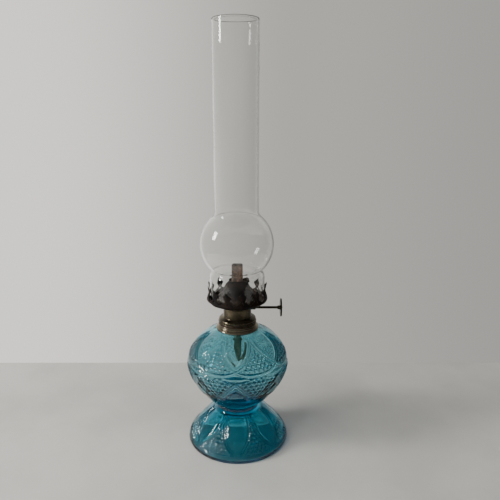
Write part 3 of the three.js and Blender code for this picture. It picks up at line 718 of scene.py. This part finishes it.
class Tree:
    """Short calls on a node tree: every input is a plain value or a socket to plug in."""

    def __init__(self, tree):
        self.tree = tree
        tree.nodes.clear()

    def add(self, kind, inputs=None, **settings):
        """A new node with its settings, and with its inputs given by name or number."""
        node = self.tree.nodes.new(kind)
        for key, value in settings.items():
            setattr(node, key, value)
        for key, value in (inputs or {}).items():
            socket = node.inputs[key]
            if isinstance(value, bpy.types.NodeSocket):
                self.tree.links.new(value, socket)
            else:
                socket.default_value = value
        return node

    def noise(self, vector, scale, detail=3.0, roughness=0.55, distortion=0.0):
        inputs = {"Vector": vector, "Scale": scale, "Detail": detail, "Roughness": roughness,
                  "Distortion": distortion}
        return self.add("ShaderNodeTexNoise", inputs).outputs["Fac"]

    def ramp(self, value, low, high, to_low=0.0, to_high=1.0):
        """A smooth rise from one number to another as the value goes from low to high."""
        inputs = {"Value": value, "From Min": low, "From Max": high, "To Min": to_low, "To Max": to_high}
        return self.add("ShaderNodeMapRange", inputs, interpolation_type="SMOOTHSTEP").outputs["Result"]

    def math(self, operation, *values):
        return self.add("ShaderNodeMath", dict(enumerate(values)), operation=operation).outputs[0]

    def blend(self, factor, a, b, kind="MIX"):
        """Colour a where the factor is 0, colour b where it is 1."""
        node = self.add("ShaderNodeMix", {"Factor": factor}, data_type="RGBA", blend_type=kind)
        for socket, value in zip([s for s in node.inputs if s.type == "RGBA"], (a, b)):
            if isinstance(value, bpy.types.NodeSocket):
                self.tree.links.new(value, socket)
            else:
                socket.default_value = value
        return next(s for s in node.outputs if s.type == "RGBA")

    def split(self, vector):
        return self.add("ShaderNodeSeparateXYZ", {"Vector": vector}).outputs

    def bump(self, height, distance, strength=1.0):
        inputs = {"Height": height, "Distance": distance, "Strength": strength}
        return self.add("ShaderNodeBump", inputs).outputs[0]

    def place(self):
        return self.add("ShaderNodeTexCoord").outputs["Object"]

    def use(self, group, **inputs):
        return self.add("ShaderNodeGroup", inputs, node_tree=group).outputs

    def surface(self, out, **inputs):
        """Ends a material in one Principled shader. Underscores in the input names stand for spaces."""
        named = {key.replace("_", " "): value for key, value in inputs.items()}
        shader = self.add("ShaderNodeBsdfPrincipled", named)
        self.tree.links.new(shader.outputs[0], out.inputs["Surface"])


def effect(name, inputs, outputs):
    """An empty node group with its tree, its given sockets, and a function that puts a socket out by name."""
    group = bpy.data.node_groups.new(name, "ShaderNodeTree")
    for key, (kind, value) in inputs.items():
        socket = group.interface.new_socket(name=key, in_out="INPUT", socket_type=kind)
        if value is not None:
            socket.default_value = value
    for key, kind in outputs.items():
        group.interface.new_socket(name=key, in_out="OUTPUT", socket_type=kind)
    tree = Tree(group)
    given = tree.add("NodeGroupInput").outputs
    result = tree.add("NodeGroupOutput")
    return group, tree, given, lambda key, value: group.links.new(value, result.inputs[key])


VECTOR, FLOAT, COLOUR = "NodeSocketVector", "NodeSocketFloat", "NodeSocketColor"


def patina_effect():
    """Old brass: dark oxide with rubbed olive-gold, a mottle in three sizes, and brown spots."""
    group, t, given, put = effect(
        "old brass patina",
        {"Place": (VECTOR, None), "Rubbed": (FLOAT, 0.5), "Bright": (COLOUR, (0.5, 0.4, 0.2, 1)),
         "Dark": (COLOUR, (0.03, 0.02, 0.015, 1))},
        {"Color": COLOUR, "Cover": FLOAT, "Height": FLOAT},
    )
    wide = t.noise(given["Place"], 70, 4, 0.6, 0.4)
    fine = t.noise(given["Place"], 420, 5, 0.7)
    mixed = t.math("ADD", t.math("MULTIPLY", wide, 0.65), t.math("MULTIPLY", fine, 0.35))
    edge = t.math("MULTIPLY_ADD", given["Rubbed"], 0.36, 0.32)
    cover = t.ramp(t.math("SUBTRACT", mixed, edge), -0.2, 0.2)
    spots = t.ramp(t.noise(given["Place"], 900, 2, 0.5), 0.6, 0.7)
    brown = t.blend(t.math("MULTIPLY", spots, 0.4), given["Bright"], (0.06, 0.035, 0.02, 1))
    put("Color", t.blend(cover, brown, given["Dark"]))
    put("Cover", cover)
    put("Height", t.math("ADD", t.math("MULTIPLY", cover, 0.5), t.math("MULTIPLY", fine, 0.5)))
    return group


def soot_effect():
    """Soot that gathers between two heights, in soft clouds with fine grains."""
    group, t, given, put = effect(
        "soot",
        {"Place": (VECTOR, None), "Low": (FLOAT, 0.1), "High": (FLOAT, 0.15), "Most": (FLOAT, 0.8)},
        {"Mask": FLOAT},
    )
    z = t.split(given["Place"])[2]
    heights = {"Value": z, "From Min": given["Low"], "From Max": given["High"]}
    rise = t.add("ShaderNodeMapRange", heights).outputs[0]
    cloud = t.ramp(t.noise(given["Place"], 150, 5, 0.65), 0.3, 0.66, 0.55, 1.25)
    put("Mask", t.math("MINIMUM", t.math("MULTIPLY", t.math("MULTIPLY", rise, cloud), given["Most"]), 0.97))
    return group


def smudge_effect():
    """Handling marks on glass: faint film in wide patches, fine streaks, and specks of dust."""
    group, t, given, put = effect(
        "smudges",
        {"Place": (VECTOR, None), "Amount": (FLOAT, 1.0)},
        {"Film": FLOAT, "Dust": FLOAT, "Wave": FLOAT},
    )
    stretched = t.add("ShaderNodeMapping", {"Vector": given["Place"], "Scale": (1.0, 1.0, 0.22)}).outputs[0]
    film = t.ramp(t.noise(given["Place"], 38, 4, 0.6, 0.6), 0.46, 0.74)
    streak = t.ramp(t.noise(stretched, 240, 3, 0.6), 0.5, 0.8, 0, 0.7)
    put("Film", t.math("MULTIPLY", t.math("MAXIMUM", film, streak), given["Amount"]))
    put("Dust", t.ramp(t.noise(given["Place"], 1500, 1, 0.5), 0.71, 0.76))
    put("Wave", t.noise(given["Place"], 55, 2, 0.4))
    return group


PATINA, SOOT, SMUDGES = patina_effect(), soot_effect(), smudge_effect()


def material(name):
    """A new material, its node tree and its output node."""
    made = bpy.data.materials.new(name)
    made.use_nodes = True
    tree = Tree(made.node_tree)
    out = tree.add("ShaderNodeOutputMaterial")
    return made, tree, out


def lamps_through(t, shader, tint):
    """Lets lamp light pass straight through glass, tinted, so that its shadow isn't black."""
    clear_way = t.add("ShaderNodeBsdfTransparent", {"Color": tint})
    shadow = t.add("ShaderNodeLightPath").outputs["Is Shadow Ray"]
    mix = t.add("ShaderNodeMixShader", {0: shadow, 1: shader.outputs[0], 2: clear_way.outputs[0]})
    return mix.outputs[0]


def pressed_blue_glass():
    """Petrol-blue pressed glass: the colour is in the body, so thick parts are darker than thin ones. The
    surface tint also carries painted light on the raised relief and painted shade on its steep flanks.
    """
    made, t, out = material("pressed blue glass")
    place = t.place()
    marks = t.use(SMUDGES, Place=place, Amount=1.0)
    rough = t.ramp(marks["Film"], 0, 1, 0.025, 0.09)
    grain = t.noise(place, 900, 3, 0.6)
    orange_peel = t.math("ADD", marks["Wave"], t.math("MULTIPLY", grain, 0.05))
    steep = t.add("ShaderNodeAttribute", attribute_name="steep").outputs["Fac"]
    relief = t.add("ShaderNodeAttribute", attribute_name="relief").outputs["Fac"]
    tint = t.blend(marks["Film"], (0.74, 0.87, 0.885, 1), (0.77, 0.86, 0.87, 1))
    # Painted light: the raised relief gets a paler tint, standing in for light caught along the ridges.
    tint = t.blend(t.ramp(relief, 0.5, 1.3, 0, 0.8), tint, (0.98, 1.0, 1.0, 1))
    # Painted shade: the steep flanks of the relief get a dark teal tint, standing in for the dark lines that
    # the ridges bend into the glass.
    tint = t.blend(t.ramp(steep, 0.3, 1.0, 0, 0.95), tint, (0.03, 0.2, 0.27, 1))
    shader = t.add("ShaderNodeBsdfPrincipled", {
        "Base Color": tint, "Roughness": rough, "IOR": 1.5, "Transmission Weight": 1.0,
        "Normal": t.bump(orange_peel, 0.00025, 0.5)})
    body = t.add("ShaderNodeVolumeAbsorption", {"Color": GLASS_BLUE, "Density": GLASS_DENSITY})
    t.tree.links.new(lamps_through(t, shader, (0.19, 0.32, 0.37, 1)), out.inputs["Surface"])
    t.tree.links.new(body.outputs[0], out.inputs["Volume"])
    return made


def chimney_glass():
    """Thin clear glass with a breath of film and dust."""
    made, t, out = material("clear blown glass")
    place = t.place()
    marks = t.use(SMUDGES, Place=place, Amount=0.6)
    rough = t.ramp(marks["Film"], 0, 1, 0.0, 0.06)
    tint = t.blend(marks["Dust"], (0.985, 0.99, 0.985, 1), (0.8, 0.79, 0.76, 1))
    shader = t.add("ShaderNodeBsdfPrincipled", {
        "Base Color": tint, "Roughness": rough, "IOR": 1.47, "Transmission Weight": 1.0,
        "Normal": t.bump(marks["Wave"], 0.0002, 0.35)})
    t.tree.links.new(lamps_through(t, shader, (0.93, 0.94, 0.93, 1)), out.inputs["Surface"])
    return made


def brass(name, bright, dark, rubbed, sooty=None, polish=0.2):
    """Brass under patina: metal where it is rubbed, a duller oxide elsewhere, and soot near the flame.

    sooty is the height where soot starts, the height where it is full, and its most.
    """
    made, t, out = material(name)
    place = t.place()
    old = t.use(PATINA, Place=place, Rubbed=rubbed, Bright=bright, Dark=dark)
    colour, rough = old["Color"], t.ramp(old["Cover"], 0, 1, polish, polish + 0.12)
    metal = t.ramp(old["Cover"], 0, 1, 1.0, 0.75)
    if sooty:
        black = t.use(SOOT, Place=place, Low=sooty[0], High=sooty[1], Most=sooty[2])["Mask"]
        colour = t.blend(black, colour, SOOT_BLACK)
        rough = t.math("ADD", rough, t.math("MULTIPLY", black, 0.3))
        metal = t.math("MULTIPLY", metal, t.math("SUBTRACT", 1.0, black))
    t.surface(out, Base_Color=colour, Roughness=rough, Metallic=metal, Specular_IOR_Level=0.12,
              Normal=t.bump(old["Height"], 0.00002, 0.25))
    return made


def wick_cotton():
    """Braided cotton: charred at the flame end, browned by oil inside the cone, olive where it soaks."""
    made, t, out = material("oiled wick cotton")
    place = t.place()
    x, _, z = t.split(place)
    rows = t.math("SINE", t.math("MULTIPLY", z, WEAVE_ROWS))
    ribs = t.math("SINE", t.math("MULTIPLY", x, WEAVE_RIBS))
    weave = t.math("MULTIPLY_ADD", t.math("MULTIPLY", rows, ribs), 0.5, 0.5)
    mottle = t.noise(place, 260, 5, 0.65)
    fuzz = t.noise(place, 2600, 3, 0.7)
    top = wick.z1 * MM
    patches = t.noise(place, 700, 4, 0.7)
    brown = t.blend(t.ramp(patches, 0.36, 0.62), (0.25, 0.14, 0.09, 1), (0.045, 0.036, 0.032, 1))
    stray = t.math("SUBTRACT", mottle, 0.5)
    grey = t.ramp(t.math("MULTIPLY_ADD", stray, 0.006, x), 0.002, -0.005)
    brown = t.blend(t.math("MULTIPLY", grey, 0.6), brown, (0.075, 0.07, 0.06, 1))
    olive = t.blend(t.ramp(mottle, 0.35, 0.65), (0.74, 0.5, 0.32, 1), (0.5, 0.34, 0.22, 1))
    soaked = t.ramp(z, tube.z0 * MM - 0.004, tube.z0 * MM + 0.004)
    colour = t.blend(soaked, olive, brown)
    charred = t.ramp(t.math("MULTIPLY_ADD", stray, 0.004, z), top - 0.0032, top - 0.0012)
    colour = t.blend(t.math("MULTIPLY", charred, 0.9), colour, (0.009, 0.008, 0.0075, 1))
    shade = t.math("MULTIPLY_ADD", weave, 0.35, 0.72)
    grey_shade = t.add("ShaderNodeCombineColor", {0: shade, 1: shade, 2: shade}).outputs[0]
    colour = t.blend(1.0, colour, grey_shade, "MULTIPLY")
    height = t.math("ADD", t.math("MULTIPLY", weave, 0.7), t.math("MULTIPLY", fuzz, 0.4))
    t.surface(out, Base_Color=colour, Roughness=t.ramp(mottle, 0.3, 0.7, 0.78, 0.92), Sheen_Weight=0.25,
              Normal=t.bump(height, 0.00015, 0.8))
    return made


def grainy(name, light, dark, scale, height):
    """A dull crumbly surface such as plaster or pressed cork: grains of two colours, pits between them."""
    made, t, out = material(name)
    place = t.place()
    grains = t.add("ShaderNodeTexVoronoi", {"Vector": place, "Scale": scale}).outputs["Distance"]
    mottle = t.noise(place, scale * 0.6, 4, 0.6)
    pits = t.math("ADD", grains, mottle)
    t.surface(out, Base_Color=t.blend(t.ramp(pits, 0.55, 1.15), light, dark),
              Roughness=t.ramp(mottle, 0.3, 0.7, 0.75, 0.95), Normal=t.bump(pits, height, 0.8))
    return made


# ------------------------------------------------------------------ floor, light and camera


def plain_stage():
    """A pale painted table top with its far edge behind the lamp.

    Its outline is a rectangle with rounded corners, set in a little at the top so that the edge is bevelled.
    """
    x0, x1, y0, y1 = TABLE_BOX
    outline = np.array([(x0, y0), (x1, y0), (x1, y1), (x0, y1)], float)
    edge = corner_cut(outline, 6, 6)
    inwards = outline.mean(0) - edge
    top_edge = edge + inwards / np.abs(inwards).max() * 2.0
    cols = len(edge)
    rings = [(top_edge, 0.0), (edge, -2.0), (edge, -TABLE_THICK)]
    verts = np.vstack([np.column_stack([ring, np.full(cols, z - TABLE_GAP)]) for ring, z in rings])
    above, below = np.arange(cols), np.arange(3 * cols - 1, 2 * cols - 1, -1)
    faces = [*grid_faces(3, cols)[:, ::-1], above, below]
    mesh = bpy.data.meshes.new("table_top")
    mesh.from_pydata((verts * MM).tolist(), [], [f.tolist() for f in faces])
    top = bpy.data.objects.new("table_top", mesh)
    bpy.context.scene.collection.objects.link(top)
    made, t, out = material("pale paint")
    place = t.place()
    worn = t.noise(place, 9, 4, 0.55)
    pale = t.blend(t.ramp(worn, 0.35, 0.7), TABLE_LIGHT, TABLE_WORN)
    # Painted shade: the top darkens a little towards +X, away from the window.
    pale = t.blend(t.ramp(t.split(place)[0], -0.3, 0.35, 0.0, 0.2), pale, TABLE_PAINTED_SHADE)
    t.surface(out, Base_Color=pale, Roughness=t.ramp(worn, 0.3, 0.7, 0.45, 0.6),
              Normal=t.bump(t.noise(place, 160, 4, 0.6), 0.0002, 0.3))
    mesh.materials.append(made)


def soft_sky():
    """A pale surround behind the lamp that fades to the right, and dims to the front and overhead."""
    world = bpy.data.worlds.new("soft surround")
    bpy.context.scene.world = world
    world.use_nodes = True
    t = Tree(world.node_tree)
    x, y, z = t.split(t.add("ShaderNodeTexCoord").outputs["Generated"])
    shade = t.blend(t.ramp(x, -0.42, 0.1), SKY_LEFT, SKY_MIDDLE)
    shade = t.blend(t.ramp(x, 0.1, 0.5), shade, SKY_RIGHT)
    near = t.ramp(y, 0.74, -0.1, 1.0, SKY_FRONT)
    over = t.ramp(z, 0.3, 0.75, 1.0, SKY_OVER)
    aside = t.ramp(t.math("ABSOLUTE", x), 0.5, 0.9, 1.0, SKY_SIDES)
    strength = t.math("MULTIPLY", t.math("MULTIPLY", near, over), t.math("MULTIPLY", aside, SKY_STRENGTH))
    background = t.add("ShaderNodeBackground", {"Color": shade, "Strength": strength})
    out = t.add("ShaderNodeOutputWorld")
    world.node_tree.links.new(background.outputs[0], out.inputs["Surface"])


def area_lamp(name, azimuth, elevation, distance, size, power, colour, mirrored=True):
    """A flat lamp aimed at the burner, from degrees round from the front towards +X and degrees up."""
    data = bpy.data.lights.new(name, "AREA")
    data.shape = "RECTANGLE"
    data.size, data.size_y = size
    data.energy = power
    data.color = colour
    lamp = bpy.data.objects.new(name, data)
    a, e = np.radians(azimuth), np.radians(elevation)
    back = Vector((np.sin(a) * np.cos(e), -np.cos(a) * np.cos(e), np.sin(e)))
    facing = back.to_track_quat("Z", "Y").to_matrix().to_4x4()
    lamp.matrix_world = Matrix.Translation(Vector(LAMP_AIM) + back * distance) @ facing
    lamp.visible_glossy = mirrored
    lamp.visible_transmission = mirrored
    bpy.context.scene.collection.objects.link(lamp)


def aim_camera():
    """A camera in front of the lamp and a little above it, looking down by about 15 degrees."""
    data = bpy.data.cameras.new("camera")
    data.sensor_width, data.lens = 36, 37.44
    data.clip_start = 0.01
    camera = bpy.data.objects.new("camera", data)
    camera.location = (0.0113, -0.434, 0.2948)
    camera.rotation_euler = (np.radians(75.2), 0, 0)
    bpy.context.scene.collection.objects.link(camera)
    bpy.context.scene.camera = camera


# ------------------------------------------------------------------ the lamp put together

blue = pressed_blue_glass()
clear = chimney_glass()
old_brass = brass("aged brass", (0.135, 0.115, 0.075, 1), (0.055, 0.047, 0.035, 1), 0.5)
rubbed_brass = brass("rubbed brass", (0.3, 0.26, 0.19, 1), (0.15, 0.13, 0.095, 1), 0.55, polish=0.12)
dark_brass = brass("dark brass", (0.14, 0.105, 0.06, 1), (0.03, 0.024, 0.018, 1), 0.35)
sooty_brass = brass("sooty brass", (0.075, 0.045, 0.028, 1), (0.014, 0.011, 0.009, 1), 0.35,
                    sooty=(0.122, 0.142, 0.9))
black_brass = brass("blackened brass", (0.1, 0.075, 0.045, 1), (0.012, 0.011, 0.01, 1), 0.22)
cotton = wick_cotton()
plaster = grainy("old plaster", (0.6, 0.56, 0.48, 1), (0.34, 0.3, 0.24, 1), 700, 0.0002)
cork = grainy("oil-soaked cork", (0.1, 0.06, 0.035, 1), (0.04, 0.026, 0.017, 1), 1100, 0.0002)

make_glass_body(blue)
make_chimney(clear)
make_collar(rubbed_brass)
make_ring("cement_ring", cement, 14.9, "font", "collar_cement", plaster)
make_ring("cork_washer", washer, 15.9, "washer", "burner_washer", cork)
make_burner_base(old_brass)
make_gallery(sooty_brass)
make_cone(sooty_brass)
make_spindle(black_brass)
make_thumbwheel(black_brass)
make_sleeve("spindle_sleeve", guide, SPINDLE_R + 0.3, "burner", "spindle_guide", dark_brass)
make_sleeve("spindle_collar", stop, SPINDLE_R + SPINDLE_FIT, "raiser", "spindle_stop", old_brass)
for node in ratchets:
    make_ratchet_wheel(node, old_brass)
make_wick(cotton)

inner_pieces = {"base_plate": dark_brass, "wick_tube": sooty_brass, "spindle_bracket": dark_brass,
                "air_screen": sooty_brass, "vent_tube": dark_brass}
for node, finish in inner_pieces.items():
    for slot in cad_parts[node].material_slots:
        slot.material = finish

plain_stage()
soft_sky()
area_lamp("window", -78, 24, 1.5, (0.26, 0.5), 20, (1.0, 0.98, 0.95))
area_lamp("soft_key", -60, 40, 1.6, (1.4, 1.4), 30, (1.0, 0.99, 0.96), mirrored=False)
area_lamp("soft_fill", 50, 45, 2.0, (1.8, 1.4), 12, (1.0, 0.99, 0.97), mirrored=False)
aim_camera()
